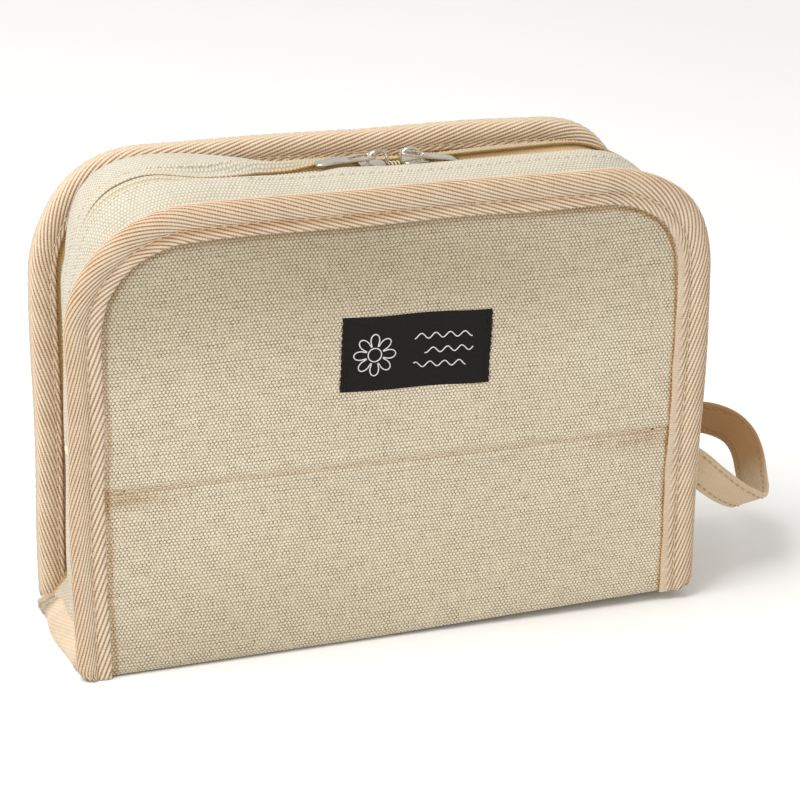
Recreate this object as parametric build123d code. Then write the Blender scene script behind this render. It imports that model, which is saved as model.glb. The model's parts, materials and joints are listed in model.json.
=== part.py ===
"""Soft canvas pencil case with stiffened panels, bound edges and a fold-down front flap.

The case stands on its base.  +X is to the right, +Y goes from the front panel to
the back panel and +Z is up.  The origin is the middle of the resting base.
Lengths are in millimetres.
"""
import os

from build123d import *

# ---- driving dimensions -------------------------------------------------------------
WIDTH = 220.0  # over the side bindings
HEIGHT = 161.0  # floor to the top of the bindings
BODY_DEPTH = 60.0  # outer face of the front canvas to outer face of the back canvas
CORNER_RADIUS = 40.0  # top corners, at the outer edge of the binding
SEAM_Z = 66.25  # the fold line across the front, where both zip ends stop
FOLD_GAP = 0.5  # gap between the lower front and the flap along the fold line

CANVAS = 0.9  # thickness of the canvas
STIFFENER = 1.2  # thickness of the foam board between canvas and lining
LINING = 0.4  # thickness of the lining
TAPE = 0.8  # thickness of one leaf of the folded binding tape
CLEARANCE = 0.2  # between layers that lie close but aren't joined
JOIN = 0.1  # how far parts of one solid run into each other

FRONT_LEAF = 12.0  # width of the binding leaf that lies on a panel
INNER_LEAF = 8.6  # width of the binding leaf that lies on the gusset flange
STIFFENER_INSET = 2.5  # the foam board stops short of the bound edge
GUSSET_INSET = 9.0  # the gusset surface leaves the panel this far inside the edge
ZIP_LIP_INSET = 3.0  # the gusset rises to this inset along the zip
SIDE_BULGE_INSET = 6.5  # the closed lower sides bulge out to this inset
LIP_HALF_GAP = 1.2  # half of the slit between the two zip lips
TUCK = 0.5  # how far the base tape and the gusset lining reach under their neighbours

ZIP_TAPE = 0.5  # thickness of the zip tape
ZIP_TAPE_EDGE = 15.0  # depth of the outer edge of each zip tape
COIL_INNER = 0.8  # depth at which each coil half begins
COIL_OUTER = 3.2  # depth at which each coil half ends
COIL_TOP = 5.0  # inset of the coil's upper side
COIL_BOTTOM = 6.8  # inset of the coil's lower side
ZIP_END_GAP = 1.25  # the zip tapes begin this far above the fold line
STOP_HEIGHT = 3.0  # height of the stop at each zip end
STOP_CLEARANCE = 1.5  # gap between the stop and the coil above it

SLIDER_LENGTH = 11.0
SLIDER_WIDTH = 8.4
SLIDER_X = {"left": 1.0, "right": 13.4}  # slider centres, almost nose to nose
SLIDER_PLATE = 1.4  # thickness of the top plate
SLIDER_CLEARANCE = 0.4  # between the top plate and the lips
FRONT_SLOPE = 0.4  # the front half of the top plate rises so the front strip can leave
FRONT_EDGE = 0.5  # thickness of the top plate's front edge
WINDOW_SILL = 0.6  # the eye's window starts this far above the top plate
SLIDER_POST = 1.2  # thickness of the wedge between the coil halves
SLIDER_POST_LENGTH = 3.0
SLIDER_FLOOR = 1.2  # thickness of the bottom plate
BRIDGE_LENGTH = 7.6  # the arched eye on the top plate
BRIDGE_RISE = 4.4
BRIDGE_WIDTH = 2.4
BRIDGE_WIRE = 1.1
BRIDGE_ROUND = 2.6  # radius of the eye's upper corners
BRIDGE_SHIFT = 0.6  # the eye sits this far towards the other slider

PULL_LENGTH = 19.3  # pin to tip
PULL_WIDTH = 5.6
PULL_THICKNESS = 1.2
PULL_EYE = 6.3  # the tab begins this far from the pin
PULL_ROUND = 2.2  # radius of the tab's corners
PULL_ARM_GAP = 0.5  # between each arm and the eye
PULL_PIN_RADIUS = 0.6
PULL_TILT = 7.0  # degrees; the tip rests on the gusset
PIN_SHIFT = 2.0  # both pins hang in the left end of their eye
PIN_RISE = 2.3  # height of the pin above the top plate

LABEL_WIDTH = 51.5
LABEL_HEIGHT = 26.0
LABEL_THICKNESS = 0.5
LABEL_X = 6.0
LABEL_Z = 104.3

STRAP_WIDTH = 12.0
STRAP_THICKNESS = 1.8
STRAP_X = 108.5  # where the strap leaves the bound edges
STRAP_Z = 50.0
STRAP_STRAIGHT = 20.0  # length of each limb before the bend
STRAP_DROOP = 33.0  # degrees below level

# ---- worked-out places --------------------------------------------------------------
HALF_WIDTH = WIDTH / 2
PANEL_OUT = BODY_DEPTH / 2
CANVAS_IN = PANEL_OUT - CANVAS
STIFFENER_IN = CANVAS_IN - STIFFENER
LINING_IN = STIFFENER_IN - LINING
FLANGE_IN = LINING_IN - CANVAS
LEAF_OUT = PANEL_OUT + TAPE
LEAF_IN = FLANGE_IN - TAPE
FLAP_Z = SEAM_Z + FOLD_GAP / 2
LOWER_TOP = SEAM_Z - FOLD_GAP / 2
BASE_EDGE = HALF_WIDTH - FRONT_LEAF
BASE_TOP = CANVAS + STIFFENER + LINING
FRONT, BACK = -1, 1
LEFT, RIGHT = -1, 1
LIP_TOP = HEIGHT - ZIP_LIP_INSET
PLATE_BOTTOM = LIP_TOP + SLIDER_CLEARANCE
PLATE_TOP = PLATE_BOTTOM + SLIDER_PLATE
PIN_Z = PLATE_TOP + PIN_RISE
STRAP_ROOT = LEAF_IN - CLEARANCE - STRAP_THICKNESS / 2

PARTS = {}


def polygon(points):
    return make_face(Polyline(*points, close=True))


def panel(side, outer, inner, inset, bottom, top=None):
    """A flat sheet with the case's outline; outer and inner are depths from the middle."""
    half, radius = HALF_WIDTH - inset, CORNER_RADIUS - inset
    if top is None:
        crown = HEIGHT - inset
        arch_line = FilletPolyline(
            (-half, 0, bottom), (-half, 0, crown), (half, 0, crown), (half, 0, bottom), radius=radius
        )
        outline = Wire([*arch_line.edges(), Line((half, 0, bottom), (-half, 0, bottom)).edge()])
        face = make_face(outline)
    else:
        face = polygon([(-half, 0, bottom), (-half, 0, top), (half, 0, top), (half, 0, bottom)])
    sheet = extrude(face, amount=outer - inner, dir=(0, side, 0))
    return sheet.moved(Location((0, side * inner, 0)))


def arch(side, outline, bottom):
    """Carry an outline of (depth, inset) points up one side, over the top and down the other."""
    path = FilletPolyline(
        (-HALF_WIDTH, 0, bottom), (-HALF_WIDTH, 0, HEIGHT), (HALF_WIDTH, 0, HEIGHT), (HALF_WIDTH, 0, bottom),
        radius=CORNER_RADIUS,
    )
    section = polygon([(-HALF_WIDTH + inset, side * depth, bottom) for depth, inset in outline])
    return sweep(section, path=path)


def upright(hand, outline, bottom, top):
    """Extrude an outline of (depth, inset) points up one side of the case."""
    section = polygon([(hand * (HALF_WIDTH - inset), depth, bottom) for depth, inset in outline])
    return extrude(section, amount=top - bottom, dir=(0, 0, 1))


def block(x0, x1, y0, y1, z0, z1):
    centre = ((x0 + x1) / 2, (y0 + y1) / 2, (z0 + z1) / 2)
    return Pos(*centre) * Box(abs(x1 - x0), abs(y1 - y0), abs(z1 - z0))


def binding_outline():
    """Folded tape around a panel edge: wide leaf outside, narrow leaf on the flange."""
    return [
        (LEAF_OUT, 0), (LEAF_OUT, FRONT_LEAF), (PANEL_OUT, FRONT_LEAF), (PANEL_OUT, TAPE),
        (FLANGE_IN, TAPE), (FLANGE_IN, INNER_LEAF), (LEAF_IN, INNER_LEAF), (LEAF_IN, 0),
    ]


def gusset_inset(depth, crest=ZIP_LIP_INSET):
    """Inset of the gusset's outer surface, which rises from the flange to the middle."""
    share = (FLANGE_IN - depth) / (FLANGE_IN - LIP_HALF_GAP)
    return GUSSET_INSET + (crest - GUSSET_INSET) * share


def gusset_layer(from_depth, to_depth, start, thickness):
    """A layer under the gusset's outer surface, start below it."""
    return [
        (from_depth, gusset_inset(from_depth) + start),
        (to_depth, gusset_inset(to_depth) + start),
        (to_depth, gusset_inset(to_depth) + start + thickness),
        (from_depth, gusset_inset(from_depth) + start + thickness),
    ]


def gusset_strip_outline():
    """Flange against the panel, then the sloping strip up to the zip lip."""
    return [
        (LINING_IN, TAPE), (FLANGE_IN, TAPE), (FLANGE_IN, GUSSET_INSET),
        (LIP_HALF_GAP, ZIP_LIP_INSET), (LIP_HALF_GAP, ZIP_LIP_INSET + CANVAS),
        (LINING_IN, GUSSET_INSET + CANVAS + CLEARANCE),
    ]


def make_panels():
    for name, side, bottom in (("back", BACK, 0.0), ("flap", FRONT, FLAP_Z)):
        inner_bottom = max(bottom, BASE_TOP)
        PARTS[name + "_panel"] = panel(side, PANEL_OUT, CANVAS_IN, TAPE, bottom)
        PARTS[name + "_stiffener"] = panel(side, CANVAS_IN, STIFFENER_IN, STIFFENER_INSET, inner_bottom)
        PARTS[name + "_lining"] = panel(side, STIFFENER_IN, LINING_IN, TAPE, inner_bottom)
    PARTS["lower_front_panel"] = panel(FRONT, PANEL_OUT, CANVAS_IN, TAPE, 0.0, LOWER_TOP)
    PARTS["lower_front_stiffener"] = panel(
        FRONT, CANVAS_IN, STIFFENER_IN, STIFFENER_INSET, BASE_TOP, LOWER_TOP
    )
    PARTS["lower_front_lining"] = panel(FRONT, STIFFENER_IN, LINING_IN, TAPE, BASE_TOP, LOWER_TOP)


def make_base():
    edge, inner = BASE_EDGE - CLEARANCE, LINING_IN
    stiffener_top = CANVAS + STIFFENER
    PARTS["base_panel"] = block(-edge, edge, -CANVAS_IN, CANVAS_IN, 0, CANVAS)
    PARTS["base_stiffener"] = block(-edge, edge, -inner, inner, CANVAS, stiffener_top)
    PARTS["base_lining"] = block(-edge, edge, -inner, inner, stiffener_top, BASE_TOP)


def make_bindings():
    PARTS["back_binding"] = arch(BACK, binding_outline(), 0.0)
    PARTS["flap_binding"] = arch(FRONT, binding_outline(), FLAP_Z)
    front_outline = [(-depth, inset) for depth, inset in binding_outline()]
    leaf_depth = LEAF_IN - JOIN
    flange_top = TAPE + CANVAS
    leaf_inset = SIDE_BULGE_INSET - TUCK
    for name, hand in (("left", LEFT), ("right", RIGHT)):
        PARTS[name + "_front_binding"] = upright(hand, front_outline, 0.0, LOWER_TOP)
        outline = [
            (HALF_WIDTH, 0), (BASE_EDGE, 0), (BASE_EDGE, TAPE), (HALF_WIDTH - TAPE, TAPE),
            (HALF_WIDTH - TAPE, flange_top), (HALF_WIDTH - leaf_inset, flange_top),
            (HALF_WIDTH - leaf_inset, flange_top + TAPE), (HALF_WIDTH, flange_top + TAPE),
        ]
        section = polygon([(hand * x, -leaf_depth, z) for x, z in outline])
        PARTS[name + "_base_binding"] = extrude(section, amount=2 * leaf_depth, dir=(0, 1, 0))


def make_gussets():
    PARTS["rear_gusset"] = arch(BACK, gusset_strip_outline(), SEAM_Z)
    PARTS["front_gusset"] = arch(FRONT, gusset_strip_outline(), FLAP_Z)
    lining = gusset_layer(LINING_IN - CLEARANCE, ZIP_TAPE_EDGE + TUCK, CANVAS, LINING)
    PARTS["rear_gusset_lining"] = arch(BACK, lining, SEAM_Z)
    PARTS["front_gusset_lining"] = arch(FRONT, lining, FLAP_Z)

    crest, wall_inset = SIDE_BULGE_INSET, GUSSET_INSET + CANVAS
    wall = [
        (-LINING_IN, TAPE), (-FLANGE_IN, TAPE), (-FLANGE_IN, GUSSET_INSET), (0, crest),
        (FLANGE_IN, GUSSET_INSET), (FLANGE_IN, TAPE), (LINING_IN, TAPE),
        (LINING_IN, wall_inset), (0, crest + CANVAS), (-LINING_IN, wall_inset),
    ]
    skin = [
        (-LINING_IN, wall_inset), (0, crest + CANVAS), (LINING_IN, wall_inset),
        (LINING_IN, wall_inset + LINING), (0, crest + CANVAS + LINING), (-LINING_IN, wall_inset + LINING),
    ]
    for name, hand in (("left", LEFT), ("right", RIGHT)):
        side_wall = upright(hand, wall, TAPE + CANVAS + TAPE, SEAM_Z)
        flange = block(
            hand * BASE_EDGE, hand * (HALF_WIDTH - TAPE), -LEAF_IN, LEAF_IN, TAPE, TAPE + CANVAS
        )
        foot = block(
            hand * BASE_EDGE, hand * (HALF_WIDTH - GUSSET_INSET), -LEAF_IN, LEAF_IN,
            TAPE + CANVAS, TAPE + CANVAS + TAPE,
        )
        PARTS[name + "_side_gusset"] = side_wall + flange + foot
        PARTS[name + "_side_lining"] = upright(hand, skin, BASE_TOP + CANVAS, SEAM_Z)


def make_zip():
    tape = gusset_layer(ZIP_TAPE_EDGE, LIP_HALF_GAP, CANVAS, ZIP_TAPE)
    coil = [
        (COIL_INNER, COIL_TOP), (COIL_OUTER, COIL_TOP), (COIL_OUTER, COIL_BOTTOM), (COIL_INNER, COIL_BOTTOM)
    ]
    tape_bottom = SEAM_Z + ZIP_END_GAP
    coil_bottom = tape_bottom + STOP_HEIGHT + STOP_CLEARANCE
    for name, side in (("rear", BACK), ("front", FRONT)):
        PARTS[name + "_zip_tape"] = arch(side, tape, tape_bottom)
        PARTS[name + "_zip_coil"] = arch(side, coil, coil_bottom)
    stop = [
        (-COIL_OUTER, COIL_TOP), (COIL_OUTER, COIL_TOP), (COIL_OUTER, COIL_BOTTOM), (-COIL_OUTER, COIL_BOTTOM)
    ]
    for name, hand in (("left", LEFT), ("right", RIGHT)):
        PARTS[name + "_zip_stop"] = upright(hand, stop, tape_bottom, tape_bottom + STOP_HEIGHT)


def slider(centre, inward):
    """Slider with an arched eye; inward is the direction of the other slider."""
    half_length, half_width = SLIDER_LENGTH / 2, SLIDER_WIDTH / 2
    lift = half_width * FRONT_SLOPE
    plate = polygon([
        (centre - half_length, half_width, PLATE_BOTTOM), (centre - half_length, 0, PLATE_BOTTOM),
        (centre - half_length, -half_width, PLATE_BOTTOM + lift),
        (centre - half_length, -half_width, PLATE_BOTTOM + lift + FRONT_EDGE),
        (centre - half_length, 0, PLATE_TOP), (centre - half_length, half_width, PLATE_TOP),
    ])
    top = extrude(plate, amount=SLIDER_LENGTH, dir=(1, 0, 0))
    floor_top = HEIGHT - COIL_BOTTOM - CLEARANCE
    start, end = centre - half_length, centre + half_length
    floor = block(start, end, -half_width, half_width, floor_top - SLIDER_FLOOR, floor_top)
    half_post = SLIDER_POST_LENGTH / 2
    post = block(
        centre - half_post, centre + half_post, -SLIDER_POST / 2, SLIDER_POST / 2,
        floor_top, PLATE_BOTTOM + JOIN,
    )
    eye_x = centre + inward * BRIDGE_SHIFT
    half_eye = BRIDGE_LENGTH / 2
    eye = block(
        eye_x - half_eye, eye_x + half_eye, -BRIDGE_WIDTH / 2, BRIDGE_WIDTH / 2,
        PLATE_TOP - JOIN, PLATE_TOP + BRIDGE_RISE,
    )
    eye = fillet(eye.edges().filter_by(Axis.Y).group_by(Axis.Z)[-1], BRIDGE_ROUND)
    window = block(
        eye_x - half_eye + BRIDGE_WIRE, eye_x + half_eye - BRIDGE_WIRE, -BRIDGE_WIDTH, BRIDGE_WIDTH,
        PLATE_TOP + WINDOW_SILL, PLATE_TOP + BRIDGE_RISE - BRIDGE_WIRE,
    )
    return top + floor + post + (eye - window)


def pull(pin_x, outward):
    """Pull tab: a pin through the slider's eye, two arms and a flat tab."""
    pin_half = PULL_WIDTH / 2 - JOIN
    arm_inner = BRIDGE_WIDTH / 2 + PULL_ARM_GAP
    body = Rot(90, 0, 0) * Cylinder(PULL_PIN_RADIUS, 2 * pin_half)
    for side in (FRONT, BACK):
        body += block(
            0, PULL_EYE + JOIN, side * arm_inner, side * PULL_WIDTH / 2, -PULL_THICKNESS / 2, PULL_THICKNESS / 2
        )
    half_width, half_thickness = PULL_WIDTH / 2, PULL_THICKNESS / 2
    tab = block(PULL_EYE, PULL_LENGTH, -half_width, half_width, -half_thickness, half_thickness)
    tab = fillet(tab.edges().filter_by(Axis.Z).group_by(Axis.X)[-1], PULL_ROUND)
    body += tab
    body = Rot(0, PULL_TILT, 0) * body
    if outward < 0:
        body = mirror(body, about=Plane.YZ)
    return Pos(pin_x, 0, PIN_Z) * body


def make_sliders():
    for name, outward in (("left", LEFT), ("right", RIGHT)):
        centre = SLIDER_X[name]
        PARTS[name + "_slider"] = slider(centre, -outward)
        pin_x = centre - outward * BRIDGE_SHIFT - PIN_SHIFT
        PARTS[name + "_pull"] = pull(pin_x, outward)


def make_label():
    PARTS["woven_label"] = block(
        LABEL_X - LABEL_WIDTH / 2, LABEL_X + LABEL_WIDTH / 2, -PANEL_OUT - LABEL_THICKNESS, -PANEL_OUT,
        LABEL_Z - LABEL_HEIGHT / 2, LABEL_Z + LABEL_HEIGHT / 2,
    )


def make_strap():
    """A webbing loop from the front bound edge to the back bound edge of the right side."""
    def slot(radius):
        disc = Pos(STRAP_STRAIGHT, 0) * Circle(radius)
        limbs = Pos(STRAP_STRAIGHT / 2, 0) * Rectangle(STRAP_STRAIGHT, 2 * radius)
        return disc + limbs
    outer = slot(STRAP_ROOT + STRAP_THICKNESS / 2)
    inner = slot(STRAP_ROOT - STRAP_THICKNESS / 2)
    inside = Pos(-STRAP_STRAIGHT, 0) * Rectangle(2 * STRAP_STRAIGHT, 2 * BODY_DEPTH)
    loop = extrude(outer - inner - inside, amount=STRAP_WIDTH / 2, both=True)
    PARTS["side_strap"] = Pos(STRAP_X, 0, STRAP_Z) * (Rot(0, STRAP_DROOP, 0) * loop)


def main():
    make_panels()
    make_base()
    make_bindings()
    make_gussets()
    make_zip()
    make_sliders()
    make_label()
    make_strap()
    os.makedirs("parts", exist_ok=True)
    for name, shape in PARTS.items():
        export_step(shape, os.path.join("parts", name + ".step"))
        print(f"{name}: {len(shape.solids())} solid(s), {shape.volume:.0f} mm3")


main()
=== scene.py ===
import json
import math

import bpy
import numpy as np
from mathutils import Matrix, Vector


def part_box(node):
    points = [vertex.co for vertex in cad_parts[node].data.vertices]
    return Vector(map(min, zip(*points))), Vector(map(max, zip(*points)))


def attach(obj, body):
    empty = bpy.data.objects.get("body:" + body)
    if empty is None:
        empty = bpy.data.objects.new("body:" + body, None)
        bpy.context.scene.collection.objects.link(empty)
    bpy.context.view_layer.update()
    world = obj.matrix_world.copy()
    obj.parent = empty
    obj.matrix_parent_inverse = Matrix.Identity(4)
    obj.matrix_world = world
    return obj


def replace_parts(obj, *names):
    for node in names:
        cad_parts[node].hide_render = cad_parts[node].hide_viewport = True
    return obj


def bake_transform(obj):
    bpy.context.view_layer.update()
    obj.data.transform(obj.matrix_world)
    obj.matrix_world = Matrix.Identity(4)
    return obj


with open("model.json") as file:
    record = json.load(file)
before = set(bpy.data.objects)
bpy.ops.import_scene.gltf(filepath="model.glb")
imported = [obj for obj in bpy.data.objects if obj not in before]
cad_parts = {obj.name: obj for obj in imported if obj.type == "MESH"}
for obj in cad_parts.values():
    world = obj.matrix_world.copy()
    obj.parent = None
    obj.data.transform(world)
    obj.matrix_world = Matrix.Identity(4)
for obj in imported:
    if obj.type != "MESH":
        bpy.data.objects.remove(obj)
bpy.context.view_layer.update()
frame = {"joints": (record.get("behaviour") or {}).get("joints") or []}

MM = 0.001


def box_mm(node):
    low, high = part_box(node)
    return np.array(low) / MM, np.array(high) / MM


# ---- sizes in millimetres, some read from the parts and joints, the rest given ------
HALF = box_mm("back_binding")[1][0]
TOP = box_mm("back_binding")[1][2]
FACE = box_mm("back_panel")[1][1]  # depth of both canvas faces from the middle
FRONT, BACK = -1, 1
CORNER = 40.0  # radius of the outline's upper corners
SIDE_RUN = TOP - CORNER
BEND_RUN = CORNER * math.pi / 2
TOP_RUN = 2 * (HALF - CORNER)
ARCH = 2 * (SIDE_RUN + BEND_RUN) + TOP_RUN  # the outline's length from floor to floor
HINGE = {j["name"]: np.array(j["pos_m"]) / MM for j in frame["joints"] if "pos_m" in j}
FOLD_Y, FOLD_Z = HINGE["flap_fold"][1:]
FOLD_LOW, FOLD_HIGH = FOLD_Z - 4.5, FOLD_Z + 5.0  # finer rows of canvas and gusset lie between these heights

PANEL_INSET = 6.5  # how far the canvas panels' edges lie inside the outline, under the bindings
LINING_INSET = 5.0  # the same for the inner cloths
GROOVE_OUTER, GROOVE_INNER = 7.35, 6.3  # insets of a binding's stitched groove on its two leaves
SEAM_STITCH, SEAM_END = 4.5, 97.0  # pitch and reach of the stitches along the fold
RIB_PITCH, RIB_HEIGHT = 1.25, 0.34  # of the twill's slanted ribs
RIB_SLOPE = math.tan(math.radians(18))
WEAVE_U, WEAVE_V = 1.28, 2.13  # repeats of the canvas weave
COIL_PITCH = 1.25
STITCH = 3.4  # pitch of the stitches along the bindings and lips

rng = np.random.default_rng(7)


# ---- shape helpers ------------------------------------------------------------------
def bell(value, centre, spread):
    return np.exp(-(((value - centre) / spread) ** 2))


def ease(value, low, high):
    t = np.clip((value - low) / (high - low), 0, 1)
    return t * t * (3 - 2 * t)


def eased(value, knots):
    """A smooth curve through (place, height) knots."""
    value = np.asarray(value, float)
    out = np.full(value.shape, float(knots[0][1]))
    for (a, ha), (b, hb) in zip(knots, knots[1:]):
        out += (hb - ha) * ease(value, a, b)
    return out


def smooth_line(points, steps=12):
    """Catmull-Rom curve through given points."""
    p = np.array(points, float)
    p = np.vstack([2 * p[0] - p[1], p, 2 * p[-1] - p[-2]])
    t = np.linspace(0, 1, steps, endpoint=False)[:, None]
    spans = []
    for a, b, c, d in zip(p, p[1:], p[2:], p[3:]):
        spans.append(0.5 * (2 * b + (c - a) * t + (2 * a - 5 * b + 4 * c - d) * t**2
                            + (3 * b - a - 3 * c + d) * t**3))
    return np.vstack([*spans, p[-2:-1]])


def along(points):
    """Distance of each point along a line from its start."""
    return np.concatenate([[0], np.cumsum(np.linalg.norm(np.diff(points, axis=0), axis=1))])


def stacked(*parts):
    """Grids or numbers side by side as the last axis of one array."""
    return np.stack(np.broadcast_arrays(*parts), -1)


def unit(vectors):
    return vectors / (np.linalg.norm(vectors, axis=-1, keepdims=True) + 1e-9)


def arch_point(s, inset):
    """x and z of the point that lies inset mm inside the case's outline, s mm along it."""
    corner_x = HALF - CORNER
    bend_end = SIDE_RUN + BEND_RUN
    bends = [SIDE_RUN, bend_end, ARCH - bend_end, ARCH - SIDE_RUN]
    angle = np.interp(s, bends, [math.pi, math.pi / 2, math.pi / 2, 0])
    centre_x = np.interp(s, [bend_end, ARCH - bend_end], [-corner_x, corner_x])
    centre_z = np.interp(s, [0, SIDE_RUN, ARCH - SIDE_RUN, ARCH], [0, SIDE_RUN, SIDE_RUN, 0])
    radius = CORNER - inset
    return centre_x + radius * np.cos(angle), centre_z + radius * np.sin(angle)


def arch_spot(s, inset, depth):
    """The same point at that depth, which counts from the case's middle to its back."""
    x, z = arch_point(s, inset)
    return stacked(x, depth, z)


def corner_push(x, z, amount, angle):
    """Push away from a rounded upper corner's centre, strongest at that angle in degrees."""
    out, up = np.clip(np.abs(x) - (HALF - CORNER), 0, None), np.clip(z - SIDE_RUN, 0, None)
    reach = np.hypot(out, up)
    push = amount * bell(np.degrees(np.arctan2(up, out)), angle, 24) * (reach / CORNER) ** 2
    return np.sign(x) * push * out / (reach + 1e-6), push * up / (reach + 1e-6)


def soften(points):
    """Soft sag and wave that all cloth pieces share, so that they stay together."""
    x, y, z = points[..., 0], points[..., 1], points[..., 2]
    back = np.clip((y + FACE) / (2 * FACE), 0, 1)
    high = np.clip(z / TOP, 0, 1) ** 2
    low = np.clip(1 - z / FOLD_Z, 0, 1) ** 1.5
    rise_front = -0.8 + 0.7 * bell(x, -45, 28)
    rise_back = -0.1 + 1.3 * bell(x, -60, 40) - 0.5 * bell(x, 80, 30)
    edge = np.clip(np.abs(x) / HALF, 0, 1) ** 3
    dx = 1.2 * back * np.clip(-x / HALF, 0, 1)
    dx = dx + edge * (0.35 * np.sin(z / 14 + 1.3 + 2 * back) + 0.25 * np.sin(z / 31 - x / 70))
    dy = 0.35 * np.sin(x / 37 + z / 45 + 0.6) * high + 0.3 * np.sin(x / 19 - z / 28) * high
    dy = dy * (1 - bell(z, FOLD_Z, 9)) - 2.4 * np.clip(-x / HALF, 0, 1) * low * (1 - back)
    dz = high * (rise_front * (1 - back) + rise_back * back)
    dz = dz + high * (0.22 * np.sin(x / 11 + 4 * back) + 0.3 * np.sin(x / 27 + 1))
    dz = dz + 3.4 * np.clip(x / HALF + 0.04, 0, 1.04) * low * (1 - back)
    right = x > 0
    amount = np.where(right, 2.2 - 6.5 * back, 1.2 * back)
    push_x, push_z = corner_push(x, z, amount, np.where(right, 38, 55))
    return points + stacked(dx + push_x, dy, dz + push_z)


# ---- mesh helpers -------------------------------------------------------------------
def quads(rows, cols, wrap=False):
    index = np.arange(rows * cols).reshape(rows, cols)
    if wrap:
        index = np.hstack([index, index[:, :1]])
    return np.stack([index[:-1, :-1], index[1:, :-1], index[1:, 1:], index[:-1, 1:]], -1).reshape(-1, 4)


def link(name, data):
    """A new object in the scene."""
    thing = bpy.data.objects.new(name, data)
    bpy.context.scene.collection.objects.link(thing)
    return thing


def make_mesh(name, points, faces, material, uv=None, paint=None):
    """A mesh object from points in millimetres, without its repeated points and empty faces."""
    points = np.asarray(points, float).reshape(-1, 3)
    _, first, same = np.unique(np.round(points, 4), axis=0, return_index=True, return_inverse=True)
    rings = [list(dict.fromkeys(ring)) for ring in same.reshape(-1)[faces].tolist()]
    mesh = bpy.data.meshes.new(name)
    mesh.from_pydata((points[first] * MM).tolist(), [], [ring for ring in rings if len(ring) > 2])
    mesh.shade_smooth()
    if uv is not None:
        uv = uv.reshape(-1, 2)[first]
        corners = np.zeros(len(mesh.loops), np.int32)
        mesh.loops.foreach_get("vertex_index", corners)
        layer = mesh.uv_layers.new(name="cloth")
        layer.data.foreach_set("uv", uv[corners].astype(np.float32).ravel())
    if paint is not None:
        # paint carries painted golden shade in creases, how far ribs fade, and painted shade that darkens
        # the colour
        shade, fade, dimming_shade = (*paint, 0.0, 0.0)[:3] if isinstance(paint, tuple) else (paint, 0.0, 0.0)
        paint = stacked(shade, fade, dimming_shade).reshape(-1, 3)[first]
        layer = mesh.attributes.new("paint", "FLOAT_VECTOR", "POINT")
        layer.data.foreach_set("vector", paint.astype(np.float32).ravel())
    mesh.materials.append(material)
    return link(name, mesh)


def make_grid(name, points, material, uv=None, wrap=False, flip=False, paint=None):
    rows, cols = points.shape[:2]
    faces = quads(rows, cols, wrap)
    if flip:
        faces = faces[:, ::-1]
    return make_mesh(name, points, faces, material, uv, paint)


def tube_points(line, radius, sides):
    """Rings of points around a line, for round threads, wires and coils."""
    line = np.asarray(line, float)
    tangent = unit(np.gradient(line, axis=0))
    guide = np.array([0.31, 0.21, 0.93]) if abs(tangent[0][2]) < 0.9 else np.array([1.0, 0.1, 0])
    side = unit(np.cross(tangent, guide))
    up = np.cross(side, tangent)
    turn = np.linspace(0, 2 * math.pi, sides, endpoint=False)
    radius = np.broadcast_to(radius, len(line))[:, None, None]
    ring = side[:, None] * np.cos(turn)[None, :, None] + up[:, None] * np.sin(turn)[None, :, None]
    return line[:, None] + radius * ring


def join_grids(name, grids, material, wrap=True):
    """Many small grids of one shape as one mesh."""
    points, faces, start = [], [], 0
    for grid in grids:
        rows, cols = grid.shape[:2]
        faces.append(quads(rows, cols, wrap) + start)
        points.append(grid.reshape(-1, 3))
        start += rows * cols
    return make_mesh(name, np.vstack(points), np.vstack(faces), material)


def cloth_normal(place, s, w):
    """Unit normal of the cloth that place(s, w) describes."""
    step = 0.05
    here = place(s, w)
    return unit(np.cross(place(s + step, w) - here, place(s, w + step) - here))


def fold(piece):
    """Bakes the placement of canvas that runs across the fold line into its mesh."""
    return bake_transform(piece)


def sew(piece, side):
    """Front cloth gets its placement baked into its mesh, rear cloth stays on the case."""
    return fold(piece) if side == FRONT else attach(piece, "case")


def applied(piece):
    """The piece with its modifier made into real mesh."""
    graph = bpy.context.evaluated_depsgraph_get()
    piece.data = bpy.data.meshes.new_from_object(piece.evaluated_get(graph))
    piece.modifiers.clear()
    return piece


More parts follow.
